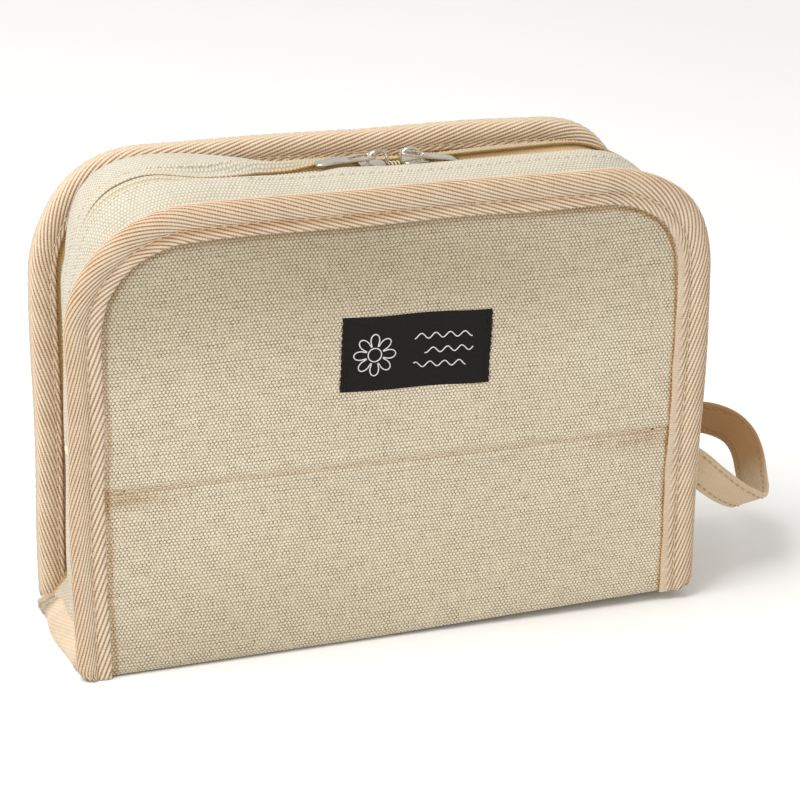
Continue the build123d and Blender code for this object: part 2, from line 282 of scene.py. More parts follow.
# ---- materials ----------------------------------------------------------------------
class Shader:
    """A short way to write a node material."""

    def __init__(self, name, roughness, sheen=0.0, metallic=0.0):
        self.material = bpy.data.materials.new(name)
        self.material.use_nodes = True
        self.tree = self.material.node_tree
        self.bsdf = self.tree.nodes["Principled BSDF"]
        self.bsdf.inputs["Roughness"].default_value = roughness
        self.bsdf.inputs["Metallic"].default_value = metallic
        self.bsdf.inputs["Sheen Weight"].default_value = sheen
        self.bsdf.inputs["Sheen Roughness"].default_value = 0.5
        self.uv = self.node("UVMap", uv_map="cloth").outputs[0]
        self.u, self.v = self.split(self.uv)[:2]

    def node(self, kind, **settings):
        node = self.tree.nodes.new("ShaderNode" + kind)
        for name, value in settings.items():
            setattr(node, name, value)
        return node

    def feed(self, node, **values):
        """Links or sets the node's inputs by name, with _ for a space."""
        for name, value in values.items():
            self.plug(node.inputs[name.replace("_", " ")], value)

    def plug(self, socket, value):
        if isinstance(value, bpy.types.NodeSocket):
            self.tree.links.new(value, socket)
        else:
            socket.default_value = value

    def split(self, vector):
        node = self.node("SeparateXYZ")
        self.plug(node.inputs[0], vector)
        return node.outputs

    def math(self, operation, *values):
        node = self.node("Math", operation=operation)
        for socket, value in zip(node.inputs, values):
            self.plug(socket, value)
        return node.outputs[0]

    def scaled(self, value, factor, extra):
        """value times factor, plus extra."""
        return self.math("MULTIPLY_ADD", value, factor, extra)

    def weighted(self, first, *terms):
        """Sum of (value, weight) terms."""
        total = self.math("MULTIPLY", *first)
        for value, weight in terms:
            total = self.scaled(value, weight, total)
        return total

    def wave(self, value, pitch):
        """Cosine of value with that pitch."""
        return self.math("COSINE", self.math("MULTIPLY", value, 2 * math.pi / pitch))

    def swell(self, value, pitch):
        """The same wave between 0 and 1."""
        return self.scaled(self.wave(value, pitch), 0.5, 0.5)

    def noise(self, scale, detail=2.0, stretch=(1, 1, 1), vector=None, roughness=0.5):
        mapping = self.node("Mapping")
        self.feed(mapping, Vector=vector or self.uv, Scale=stretch)
        node = self.node("TexNoise")
        self.feed(node, Vector=mapping.outputs[0], Scale=scale, Detail=detail, Roughness=roughness)
        return node.outputs["Fac"]

    def place(self):
        return self.node("TexCoord").outputs["Object"]

    def ramp(self, value, stops):
        node = self.node("ValToRGB")
        self.plug(node.inputs[0], value)
        ramp = node.color_ramp
        for index, (spot, colour) in enumerate(stops):
            element = ramp.elements[index] if index < 2 else ramp.elements.new(spot)
            element.position = spot
            element.color = (*colour, 1)
        return node.outputs[0]

    def mix(self, factor, a, b, mode="MIX"):
        node = self.node("Mix", data_type="RGBA", blend_type=mode)
        colours = [(*c, 1) if isinstance(c, tuple) else c for c in (a, b)]
        for index, value in zip((0, 6, 7), (factor, *colours)):  # the colour version's sockets
            self.plug(node.inputs[index], value)
        return node.outputs[2]

    def tinted(self, colour, tint):
        return self.mix(1.0, colour, tint, "MULTIPLY")

    def crease_shade(self, colour, tint):
        """Painted golden shade in creases and hollows, as much as the paint's first channel says."""
        return self.mix(self.paint(0), colour, self.tinted(colour, tint))

    def paint(self, channel):
        """Painted on the cloth's points: 0 painted golden shade in creases, 1 how far ribs fade, 2 painted
        shade that darkens the colour.
        """
        node = self.node("Attribute", attribute_name="paint")
        return self.split(node.outputs["Vector"])[channel]

    def finish(self, colour, height=None, depth=0.0002):
        self.feed(self.bsdf, Base_Color=colour)
        if height is not None:
            bump = self.node("Bump")
            self.feed(bump, Strength=1.0, Distance=depth, Height=height)
            self.feed(self.bsdf, Normal=bump.outputs[0])
        return self.material


def between(dark, light, weight):
    """A colour between two, weight times nearer to the light one."""
    return tuple((d + weight * c) / (1 + weight) for d, c in zip(dark, light))


def grey(value):
    return value, value, value


def canvas_material(name, ridge, gap, fleck, tint, depth=0.0003):
    """Plain weave: staggered thread bumps with uneven yarns and a few dark flecks; the gap colour, the
    golden tint and the third paint channel put in painted shade.
    """
    m = Shader(name, 0.92, sheen=0.12)
    wander = m.noise(0.3)
    u, v = m.scaled(wander, 1.0, m.u), m.scaled(wander, 0.6, m.v)
    weave = m.math("MULTIPLY", m.wave(u, WEAVE_U), m.wave(v, WEAVE_V))
    staggered = m.scaled(m.wave(v, WEAVE_V / 2), 0.5, weave)
    bumps = m.scaled(staggered, 0.40, 0.44)
    weft = m.noise(1.0, stretch=(0.12, 1.0, 1))
    warp = m.noise(1.0, stretch=(1.55, 0.12, 1))
    yarn = m.weighted((weft, 0.5), (warp, 0.5))
    fibre = m.noise(3.6, 3.0, roughness=0.75)
    height = m.weighted((fibre, 0.3), (yarn, 0.7), (bumps, 1.0))
    tone = m.weighted((fibre, 0.34), (yarn, 0.30), (bumps, 0.66))
    # the gap colour is painted shade between the threads
    colour = m.ramp(tone, [(0.38, gap), (0.80, ridge), (0.56, between(gap, ridge, 2.6))])
    specks = m.ramp(m.noise(0.9, 1.0, roughness=0.4), [(0.76, grey(0)), (0.80, grey(1))])
    colour = m.mix(specks, colour, fleck)
    clouds = m.ramp(m.noise(0.02), [(0.3, (0.94, 0.93, 0.915)), (0.7, grey(1))])
    # painted golden shade in creases, from the paint's first channel
    colour = m.crease_shade(m.tinted(colour, clouds), tint)
    # painted shade from the paint's third channel darkens the colour
    colour = m.mix(m.paint(2), colour, m.tinted(colour, (0.66, 0.63, 0.565)))
    return m.finish(colour, height, depth)


def twill_material(name, ridge, groove):
    """Twill tape: the ribs are real, the yarns along them are drawn here; the groove colour is painted
    shade between the ribs.
    """
    m = Shader(name, 0.9, sheen=0.12)
    rib_share = m.scaled(m.paint(1), -0.5, 0.5)
    ribs = m.scaled(m.wave(m.u, 1.0), rib_share, 0.5)
    bead = m.swell(m.scaled(m.noise(0.5, 1.0), 1.5, m.v), 0.85)
    fibre = m.noise(4.2, 3.0, stretch=(0.6, 1.6, 1), roughness=0.75)
    patch = m.noise(0.12)
    tone = m.weighted((patch, 0.20), (bead, 0.12), (fibre, 0.50), (ribs, 0.55))
    # the groove colour stands for shade between the ribs
    colour = m.ramp(tone, [(0.36, groove), (0.92, ridge), (0.66, between(groove, ridge, 2))])
    height = m.scaled(bead, 0.5, fibre)
    # painted golden shade in creases
    return m.finish(m.crease_shade(colour, (0.70, 0.46, 0.24)), height, 0.00014)


def plain_cloth_material(name, light, dark, pitch=0.5):
    m = Shader(name, 0.85, sheen=0.1)
    weave = m.scaled(m.math("MULTIPLY", m.wave(m.u, pitch), m.wave(m.v, pitch)), 0.5, 0.5)
    tone = m.weighted((weave, 0.5), (m.noise(3.0), 0.5))
    return m.finish(m.ramp(tone, [(0.2, dark), (0.8, light)]), weave, 0.00008)


def label_material():
    """Black damask: fine horizontal ribs and a slight sheen."""
    m = Shader("label_black", 0.9)
    m.feed(m.bsdf, Specular_IOR_Level=0.15)
    rib = m.swell(m.v, 0.42)
    tick = m.swell(m.math("ADD", m.u, m.v), 0.6)
    fibre = m.noise(4.0, 3.0, stretch=(0.3, 1.6, 1), roughness=0.7)
    tone = m.weighted((tick, 0.15), (fibre, 0.6), (rib, 0.35))
    colour = m.ramp(tone, [(0.3, grey(0.006)), (0.85, (0.026, 0.024, 0.021))])
    return m.finish(colour, tone, 0.00012)


def grained(m, scale, dark, light, detail=2.0, stretch=(1, 1, 1)):
    """Fine grain in the object's own space, and the two-colour ramp over it."""
    grain = m.noise(scale, detail, stretch, m.place())
    return grain, m.ramp(grain, [(0.3, dark), (0.7, light)])


def thread_material(name, light, dark):
    m = Shader(name, 0.8, sheen=0.2)
    return m.finish(grained(m, 2600.0, dark, light)[1])


def metal_material():
    """Nickel plating with faint polishing marks."""
    m = Shader("nickel", 0.24, metallic=1.0)
    grain, colour = grained(m, 260.0, (0.50, 0.45, 0.38), (0.82, 0.77, 0.68), 4.0, (1, 6, 1))
    m.feed(m.bsdf, Roughness=m.ramp(grain, [(0.3, grey(0.16)), (0.7, grey(0.34))]))
    return m.finish(colour, grain, 0.00002)


def nylon_material():
    m = Shader("zip_nylon", 0.42)
    grain, colour = grained(m, 900.0, (0.70, 0.56, 0.36), (0.84, 0.73, 0.54))
    return m.finish(colour, grain, 0.00003)


def floor_material():
    m = Shader("pale_floor", 0.7)
    return m.finish(grained(m, 6.0, grey(0.94), grey(0.95))[1])


# gap is painted shade between the threads; tint is the colour of painted shade in creases
CANVAS = canvas_material(
    "canvas", ridge=(0.945, 0.85, 0.655), gap=(0.13, 0.075, 0.03), fleck=(0.20, 0.11, 0.05),
    tint=(0.60, 0.33, 0.12),
)
# the gusset's canvas: a copy of the canvas toned darker and lower in contrast for the stronger light on the
# top and sides; its tint is painted golden shade in the gusset's creases
GUSSET_CANVAS_TONED_FOR_LIGHT = canvas_material(
    "gusset_canvas", ridge=(0.69, 0.655, 0.55), gap=(0.38, 0.335, 0.25), fleck=(0.40, 0.26, 0.13),
    tint=(0.78, 0.55, 0.27), depth=0.00022,
)
# the second colour of each is painted shade in the grooves between ribs
TWILL = twill_material("twill_tape", (0.84, 0.70, 0.53), (0.31, 0.165, 0.075))
STRAP = twill_material("strap_twill", (0.68, 0.525, 0.355), (0.48, 0.32, 0.18))
LINING = plain_cloth_material("lining", (0.78, 0.73, 0.64), (0.58, 0.53, 0.45))
# golden colour: cream tape with painted warm shade, as seen deep in the slit
SHADED_ZIP_TAPE = plain_cloth_material("zip_tape", (0.92, 0.70, 0.40), (0.62, 0.42, 0.20), pitch=0.9)
LABEL = label_material()
LABEL_MARK = thread_material("label_white_thread", (0.88, 0.87, 0.84), (0.55, 0.54, 0.52))
THREAD = thread_material("thread", (0.82, 0.70, 0.52), (0.58, 0.43, 0.26))
STRAP_THREAD = thread_material("strap_thread", (0.52, 0.36, 0.20), (0.38, 0.24, 0.12))
# needle holes: their dark colour is painted shade inside the holes
HOLE_SHADE = thread_material("needle_hole", (0.20, 0.11, 0.05), (0.10, 0.05, 0.022))
NICKEL = metal_material()
NYLON = nylon_material()


# ---- canvas panels ------------------------------------------------------------------
def panel_top(x, inset):
    """Height of the case's outline above x, at that inset."""
    reach = np.clip(np.abs(x) - (HALF - CORNER), 0, CORNER - inset)
    return SIDE_RUN + np.sqrt(np.maximum((CORNER - inset) ** 2 - reach**2, 0))


def panel_columns(inset):
    """Places across a panel, about 1.6 mm apart and closer towards its sides."""
    half, reach = HALF - inset, math.pi / 2 * 0.96
    count = int(2 * half / 1.6) + 1
    return half * np.sin(np.linspace(-1, 1, count) * reach) / math.sin(reach)


def panel_crown(x, z):
    """How far a panel bulges at that place, from 0 at its edges to 1."""
    return (1 - (x / HALF) ** 4) * np.sin(math.pi * np.clip(z / TOP, 0, 1)) ** 0.6


def panel_rows(bottom):
    fine = np.arange(FOLD_LOW - 2, FOLD_HIGH + 3, 0.6)
    below = np.linspace(bottom, fine[0], 40, endpoint=False)
    above = np.linspace(fine[-1] + 0.6, TOP, 62)
    return np.concatenate([below, fine, above])


def panel_points(depth, inset, bottom, swell, seam):
    """Rows of a panel sheet; depth is signed, front is negative."""
    x = panel_columns(inset)
    rows = panel_rows(bottom)
    level = 100.0  # the rows are level up to here, then turn into the outline's curve
    share = np.clip((rows - level) / (TOP - level), 0, 1)
    z = np.minimum(rows, level)[:, None] + share[:, None] * (panel_top(x, inset) - level)
    out = swell * panel_crown(x, z)
    if seam:
        out = out - 0.5 * bell(z, FOLD_Z, 0.9) * (0.8 + 0.2 * np.cos(2 * math.pi * x / SEAM_STITCH))
        out = out + bell(z, 6, 22) * (1 - (x / HALF) ** 6) * ease(z, 0, 3)
        out = out + 0.35 * bell(z, FOLD_Z + 2.6, 1.6) + 0.25 * bell(z, FOLD_Z - 2.8, 1.8)
        for end_x in (-94, 93):
            out = out - 1.1 * bell(x, end_x, 7) * bell(z, FOLD_Z - 5.5, 3.2)
    return stacked(x, depth + math.copysign(1, depth) * out, z)


def make_front_canvas():
    """One cloth: base from the back edge forward, round the lower front edge and up the front."""
    front = panel_points(-FACE, PANEL_INSET, 1.8, 0.9, True)
    profile = [(FACE - 1.2 - 2.05 * k, 0.5) for k in range(28)]
    profile += [(-FACE + 1.5 - 2.0 * math.sin(a), 1.9 - 1.6 * math.cos(a)) for a in np.linspace(0, 1.5, 7)]
    under = np.array([[(x, y, z) for x in front[0, :, 0]] for y, z in profile])
    points = np.concatenate([under, front])
    x, z = points[..., 0], points[..., 2]
    middle, rise = points.shape[1] // 2, slice(len(under), None)
    uv = stacked(x, along(points[:, middle])[:, None])
    uv[rise, :, 1] += z[rise] - z[rise, middle][:, None]
    out, up = np.maximum(np.abs(x) - HALF + CORNER, 0), np.maximum(z - SIDE_RUN, 0)
    inset = np.minimum(np.where(up > 0, CORNER - np.hypot(out, up), HALF - np.abs(x)), HALF)
    hem = bell(inset, 12.3 + 0.3 * np.sin(z / 6), 0.85 - 0.3 * ease(x, 60, 90))
    hem = hem * (0.6 + 0.5 * ease(x, 20, 80))  # painted golden shade in the crease beside the binding
    # painted shade below the ends of the fold seam and along the seam itself
    ends = bell(z, FOLD_Z - 3.5, 3.0) * (bell(x, -92, 13) + 0.8 * bell(x, 88, 12))
    shade = hem + 0.4 * ends + 0.2 * bell(z, FOLD_Z - 0.6, 0.8)
    # painted shade that darkens the upper front and its lower left
    dimming_shade = ease(z, 92, 138) * (1 - 0.35 * ease(x, -60, 90))
    dimming_shade = dimming_shade + 0.5 * (1 - ease(z, 2, 48)) * (1 - ease(x, -70, 60))
    dimming_shade = dimming_shade * (0.85 + 0.15 * np.sin(x / 23 + z / 17))
    paint = (np.clip(shade, 0, 1), 0.0, np.clip(dimming_shade, 0, 1))
    piece = make_grid("front_and_base_canvas", soften(points), CANVAS, uv, flip=True, paint=paint)
    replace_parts(piece, "flap_panel", "lower_front_panel", "base_panel", "flap_stiffener",
                "lower_front_stiffener", "base_stiffener")
    fold(piece)


def make_back_canvas():
    points = panel_points(FACE, PANEL_INSET, 0.6, 1.4, False)
    piece = make_grid("back_canvas", soften(points), CANVAS, points[..., [0, 2]])
    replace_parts(piece, "back_panel", "back_stiffener")
    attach(piece, "case")


def make_linings():
    depth = box_mm("back_lining")[0][1]
    for side, name, nodes in ((FRONT, "front", ["flap_lining", "lower_front_lining"]),
                              (BACK, "back", ["back_lining"])):
        sheet = panel_points(side * depth, LINING_INSET, 3.4, 0.0, False)
        uv = sheet[..., [0, 2]]
        piece = make_grid(name + "_lining_cloth", soften(sheet), LINING, uv, flip=side == BACK)
        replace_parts(piece, *nodes)
        sew(piece, side)
    x, y = np.meshgrid(np.linspace(-101, 101, 90), np.linspace(-depth, depth, 30))
    z = 3.2 + 0.25 * np.sin(x / 13) * np.sin(y / 9)
    base = stacked(x, y, z)
    piece = make_grid("base_lining_cloth", base, LINING, base[..., :2], flip=True)
    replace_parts(piece, "base_lining")
    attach(piece, "case")


# ---- gusset -------------------------------------------------------------------------
TOP_START = SIDE_RUN + BEND_RUN  # where the straight top run begins
SLIDER_MIDDLE = TOP_START + HALF - CORNER + 7.2  # between the two sliders
VALLEY_DEPTH, VALLEY_INSET = 25.5, 10.4  # where the gusset meets the bindings
ROOT_DEPTH = 26.5  # the gusset's cut edge, inside the binding's fold


def crest(s):
    """Inset of the gusset's ridge along the zip."""
    return eased(s, [
        (FOLD_Z, 4.6), (SIDE_RUN - 15, 5.6), (SIDE_RUN + 12, 5.8), (SIDE_RUN + 46, -1.5),
        (TOP_START + 2, -1.5), (TOP_START + 42, 0.0), (TOP_START + 78, 1.5), (TOP_START + 118, 0.9),
        (ARCH - TOP_START, 0.6), (ARCH - TOP_START + 24, 0.5), (ARCH - SIDE_RUN - 10, 0.8),
        (ARCH - SIDE_RUN + 20, 5.0), (ARCH - FOLD_Z, 6.2),
    ])


def lip_gap(s):
    """Half of the slit between the two zip lips; it opens round the sliders."""
    from_end = np.minimum(s, ARCH - s)
    zipped = 0.55 * ease(from_end, FOLD_Z - 2, FOLD_Z + 4)
    low_left = ease(s, FOLD_Z, FOLD_Z + 20) - ease(s, SIDE_RUN + 26, SIDE_RUN + 44)
    zipped = zipped * (1 - 0.8 * low_left)
    corner = 0.25 * bell(s, SIDE_RUN + 46, 16)
    turning = 0.7 * bell(s, ARCH - TOP_START - 2, 16)
    return 0.02 + zipped + corner + turning + 3.1 * slider_run(s)


def slider_run(s):
    """One where a slider travels and the lips stand apart, zero where they are closed."""
    start, end = TOP_START + 32, ARCH - TOP_START + 6
    return ease(s, start - 24, start) ** 2 - ease(s, end, end + 14)


def pull_gutter(s, depth):
    """How far the lips sink beside the opening, which gives the left pull room."""
    sunk = ease(s, TOP_START - 12, TOP_START + 14) - ease(s, TOP_START + 40, TOP_START + 60)
    return 2.9 * sunk * (1 - ease(depth, 3.2, 6.5))


def zip_inset(s):
    """Inset of the zip's middle: straight along the sliders' travel, under the lips elsewhere."""
    level = ease(s, TOP_START - 20, TOP_START + 8) - ease(s, ARCH - TOP_START, ARCH - TOP_START + 14)
    return crest(s) + 2.8 + (1.5 - crest(s)) * level


def gusset_point(side, s, depth, below=0.0):
    """A point of the gusset strip's surface at that depth, or below mm under it."""
    gap, ridge = lip_gap(s), crest(s)
    share = np.clip((depth - gap) / (VALLEY_DEPTH - gap), 0, 1)
    fullness = 1.55
    if side == BACK:
        corner = ease(s, SIDE_RUN + 10, SIDE_RUN + 36) - ease(s, TOP_START + 2, TOP_START + 40)
        fullness = fullness + 8 * corner
    inset = ridge + (VALLEY_INSET - ridge) * share**fullness
    inset = inset + 0.25 * np.sin(s / 9 + depth / 5) * share * (1 - share) * 4 + pull_gutter(s, depth)
    flare = 1 - ease(np.minimum(s, ARCH - s), 2, 15)
    inset = inset - flare * (inset - 1.8)
    return arch_spot(s, inset + below, side * depth)


def gusset_steps():
    fine = np.arange(FOLD_LOW - 3, FOLD_HIGH + 4, 0.55)
    rise = np.linspace(1.6, fine[0], 40, endpoint=False)
    half = np.concatenate([rise, fine])
    middle = np.linspace(fine[-1] + 0.6, ARCH - fine[-1] - 0.6, 300)
    return np.concatenate([half, middle, ARCH - half[::-1]])


def make_gusset(name, side, nodes):
    s = gusset_steps()
    share = np.linspace(1, 0, 44)
    gap = lip_gap(s)[:, None]
    from_end = np.minimum(s, ARCH - s)
    surface = gusset_point(side, s[:, None], gap + (VALLEY_DEPTH - gap) * share**1.2)
    root = arch_spot(s, 6.0, side * (ROOT_DEPTH + 0.2))
    low = arch_spot(s, np.where(from_end < 12, 3.0, 9.6), side * ROOT_DEPTH)
    hem = []
    for extra, below in ((-0.25, 0.45), (0.1, 0.95), (1.2, 1.15), (4.0, 1.2)):
        hem.append(gusset_point(side, s, lip_gap(s) + extra, below))
    points = np.concatenate([np.stack([root, low], 1), surface, np.stack(hem, 1)], axis=1)
    uv = stacked(s[:, None], along(points[len(s) // 2]))
    reach = np.abs(points[..., 1])
    # painted golden shade in the valley by the binding, and painted warm shade towards the strip's ends at
    # the floor
    shade = 0.95 * ease(reach, 22.0, 25.0) + 0.22 * (1 - ease(from_end, 6, 34))[:, None]
    # painted shade along the lip's edge beside the slit, from the left corner onwards
    slit_shade_span = ease(s, SIDE_RUN + 22, SIDE_RUN + 40)[:, None]
    shade = shade + 0.65 * (1 - ease(reach - gap, -0.2, 0.4)) * slit_shade_span
    fold_line = ease(s, SIDE_RUN + 26, SIDE_RUN + 40) - ease(s, TOP_START - 2, TOP_START + 26)
    if side == FRONT:
        # painted golden shade along a fold line beside the front lip at the left corner
        shade = shade + 0.75 * bell(reach - gap, 2.5, 0.45) * fold_line[:, None]
    else:
        # painted golden shade in the rear strip's valley along the top run
        valley = ease(s, TOP_START + 22, TOP_START + 64)
        valley = valley - ease(s, ARCH - TOP_START - 6, ARCH - TOP_START + 36)
        shade = shade + ease(reach, 1.5, 3) * (0.62 - 0.3 * ease(reach, 6, 14)) * valley[:, None]
    piece = make_grid(name, soften(points), GUSSET_CANVAS_TONED_FOR_LIGHT, uv, flip=side == FRONT, paint=np.clip(shade, 0, 1))
    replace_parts(piece, *nodes)
    return piece


def make_gusset_lining(name, side, nodes):
    s = gusset_steps()[:, None]
    depth = np.linspace(ROOT_DEPTH, 11, 12)
    points = soften(gusset_point(side, s, depth, 1.7))
    piece = make_grid(name, points, LINING, stacked(s, depth), flip=side == BACK)
    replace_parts(piece, *nodes)
    return piece


def make_side_lining(name, low_s, high_s, node):
    """Inside of a closed lower side."""
    s = np.linspace(low_s, high_s, 40)
    depth = np.linspace(-ROOT_DEPTH, ROOT_DEPTH, 40)
    ridge = crest(s)[:, None]
    inset = ridge + 1.7 + (VALLEY_INSET - ridge) * (np.abs(depth) / VALLEY_DEPTH) ** 1.5
    points = arch_spot(s[:, None], inset, depth)
    uv = stacked(points[..., 2], depth)
    piece = make_grid(name, soften(points), LINING, uv, flip=low_s < ARCH / 2)
    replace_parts(piece, node)
    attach(piece, "case")


def make_gussets():
    outer = {FRONT: ["front_gusset"], BACK: ["rear_gusset", "left_side_gusset", "right_side_gusset"]}
    for side, name in ((BACK, "rear"), (FRONT, "front")):
        sew(make_gusset(name + "_gusset_canvas", side, outer[side]), side)
    for side, name in ((BACK, "rear"), (FRONT, "front")):
        sew(make_gusset_lining(name + "_gusset_inside", side, [name + "_gusset_lining"]), side)


# ---- twill bindings -----------------------------------------------------------------
def tape_piece(name, place, length, width, outward, faded, shade=None, edge=None, step=0.0):
    """Tape whose mesh lines follow its slanted ribs; place(s, w) gives points in millimetres.

    Round its edge each rib steps over the next by step mm.
    """
    period = RIB_PITCH / RIB_SLOPE
    q = np.arange(0, length + width / RIB_SLOPE + period, period / 7)
    w = np.linspace(0, width, int(width / 0.7))
    grid_q, grid_w = np.meshgrid(q, w, indexing="ij")
    s = np.clip(grid_q - grid_w / RIB_SLOPE, 0, length)
    phase = (s + grid_w / RIB_SLOPE) / period
    hem = ease(grid_w, 0.4, 1.6) * ease(width - grid_w, 0.4, 1.6)
    fade = faded(s, grid_w)
    rib = np.abs(np.cos(math.pi * phase)) ** 0.8 * RIB_HEIGHT * (1 - 0.8 * fade)
    if edge is not None:
        rib = rib + step * (phase - np.floor(phase) - 0.6) * bell(grid_w, edge, 2.0)
    points = place(s, grid_w) + outward * cloth_normal(place, s, grid_w) * (rib * hem)[..., None]
    points[..., 2] = np.maximum(points[..., 2], 0)
    paint = shade(s, grid_w) if shade else np.zeros(s.shape)
    # painted shade just behind each rib's step round the edge
    if edge is not None:
        paint = paint + 0.7 * bell(grid_w, edge, 3.0) * bell(phase - np.floor(phase), 0.08, 0.16)
    paint = (np.clip(paint, 0, 1), fade)
    return make_grid(name, points, TWILL, stacked(phase, s), flip=outward < 0, paint=paint)


BINDING = smooth_line([  # (depth, inset) across the tape, from the wide leaf's hem to the narrow leaf's
    (29.7, 9.9), (30.1, 11.2), (30.85, 11.1), (31.0, 9.9), (30.85, 8.7), (30.3, 7.35), (30.95, 6.0),
    (31.4, 3.9), (31.05, 1.5), (29.9, 0.2), (28.3, -0.1), (26.7, 0.4), (25.7, 1.7), (25.35, 3.8),
    (25.7, 5.6), (25.95, 6.3), (25.65, 7.2), (25.85, 8.4), (26.5, 8.3),
])
END_RADIUS = 4.5  # of a binding's outer corner at the floor
BINDING_WIDTH = along(BINDING)
BINDING_MIDDLE = BINDING_WIDTH[int(np.argmin(BINDING[:, 1]))]


def inset_at(w):
    return np.interp(w, BINDING_WIDTH, BINDING[:, 1])


def width_at(inset, leaf):
    """Where across the tape that inset is reached, on the outer (0) or inner (1) leaf."""
    ends = (0.8, BINDING_MIDDLE) if leaf == 0 else (BINDING_MIDDLE, BINDING_WIDTH[-1] - 0.6)
    spots = np.linspace(*ends, 400)
    return spots[int(np.argmin(np.abs(inset_at(spots) - inset)))]


def binding_place(side):
    """Tape folded over a panel's edge."""
    def place(s, w):
        depth, inset = np.interp(w, BINDING_WIDTH, BINDING[:, 0]), inset_at(w)
        wide_leaf = 1 - ease(w, BINDING_MIDDLE - 4, BINDING_MIDDLE)
        left = 1 - ease(s, SIDE_RUN - 10, SIDE_RUN + 40)
        right = ease(s, ARCH - SIDE_RUN - 30, ARCH - SIDE_RUN + 20)
        inset = inset + (0.3 * np.sin(s / 6.5) + 0.2 * np.sin(s / 2.9 + 1)) * (1 - ease(w, 0.5, 3.2))
        widened = 0.8 * right * ease(inset, 7, 11) - 1.1 * left * bell(inset, 7.3, 3.6)
        inset = inset + wide_leaf * widened
        from_end = np.minimum(s, ARCH - s)
        outer = 1 - ease(inset, 0, 7)
        round_end = 1 - np.sqrt(1 - np.clip(1 - from_end / END_RADIUS, 0, 1) ** 2)
        x, z = arch_point(s, inset + END_RADIUS * round_end * outer)
        loose = (1 - ease(w, 0, 4)) * 0.22 * (np.sin(s / 9.0) + np.sin(s / 23.0 + 1))
        return soften(stacked(x, side * (depth + loose), z + 0.25))

    return place


def binding_shade(s, w):
    """Golden shade along the stitched groove and under the hems."""
    tucked = ease(s, SIDE_RUN + 30, SIDE_RUN + 55) * (1 - 0.65 * ease(s, TOP_START + 60, TOP_START + 90))
    tucked = tucked * (1 - ease(s, ARCH - SIDE_RUN - 50, ARCH - SIDE_RUN - 25))
    outer, inner = width_at(GROOVE_OUTER, 0), width_at(GROOVE_INNER, 1)
    shade = 0.45 * bell(w, outer, 0.5) + 0.25 * bell(w, inner, 0.5) + 0.9 * bell(w, 0.6, 0.9)
    shade = shade + 0.6 * tucked * bell(w, outer - 1.2, 1.0)
    return shade + 0.85 * ease(w, BINDING_WIDTH[-1] - 1.6, BINDING_WIDTH[-1] - 0.6)


def binding_fade(s, w):
    """The narrow strip beside the groove is smooth down the right side."""
    return ease(s, ARCH - SIDE_RUN - 45, ARCH - SIDE_RUN - 5) * (1 - ease(w, 3.6, 4.6))


def base_place(hand):
    """Tape folded over the base's side edge; it rises on the gusset and lies flat underneath.

    The left one is looser: it swells, gathers and sinks towards the back.
    """
    loose = 0.0 if hand > 0 else 1.0
    profile = smooth_line([
        (10.6, 0.9), (11.9, 0.55), (11.4, 0.25), (8.0, 0.2), (4.0, 0.2), (1.2, 0.45), (0.15, 1.8),
        (0.5, 3.8), (1.8, 5.6), (3.2, 7.4), (4.6, 8.8), (5.4, 9.4), (5.9, 8.8),
    ])
    length = along(profile)
    run = 54.0

    def place(s, w):
        y = hand * (run / 2 - s)
        inset = np.interp(w, length, profile[:, 0])
        z = np.interp(w, length, profile[:, 1])
        rising = ease(w, 9, 13)
        swell = (1.0 + 1.6 * loose) * bell(y, 3, 15) + 1.6 * loose * ease(y, 14, 24)
        gather = 0.55 * np.sin(2 * math.pi * y / 3.7 + w / 3) * ease(y, 10, 22) * rising
        tuck = 3.2 * (1 - ease(y, -27, -22)) * (1 - ease(inset, 0, 6))
        z = z * (1 - 0.42 * loose * ease(y, 8, 26))
        x = hand * (HALF - inset + swell * (1 - 0.55 * np.clip(inset / 8, 0, 1)) + gather - tuck)
        return soften(stacked(x, y, z))

    return place, length[-1], run


def make_bindings():
    for side, name, step in ((FRONT, "front", 0.35), (BACK, "back", 2.2)):
        piece = tape_piece(name + "_edge_tape", binding_place(side), ARCH, BINDING_WIDTH[-1], -side,
                           binding_fade, binding_shade, BINDING_MIDDLE - 1.7, step)
        if side == FRONT:
            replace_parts(piece, "flap_binding", "left_front_binding", "right_front_binding")
        else:
            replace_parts(piece, "back_binding")
        sew(piece, side)
    for name, hand, fade in (("left", -1, 0.85), ("right", 1, 0.55)):
        place, width, run = base_place(hand)
        piece = tape_piece(name + "_base_tape", place, run, width, -1, lambda s, w, fade=fade: fade + 0 * s)
        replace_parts(piece, name + "_base_binding")
        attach(piece, "case")


# ---- stitches -----------------------------------------------------------------------
def stitch_row(name, spots, normals, length, radius=0.24, sink=0.12, material=THREAD):
    """Short threads that dive into the cloth at both ends; spots are middles with directions."""
    t = np.linspace(-1, 1, 7)
    grids = []
    for (middle, direction), normal in zip(spots, normals):
        lift = (1 - t**2) * 0.42 - sink - 0.3 * t**4
        line = middle + np.outer(t * length / 2, direction) + np.outer(lift, normal)
        width = radius * (1 - 0.45 * t**6)
        grids.append(tube_points(line, width, 6))
    return join_grids(name, grids, material)


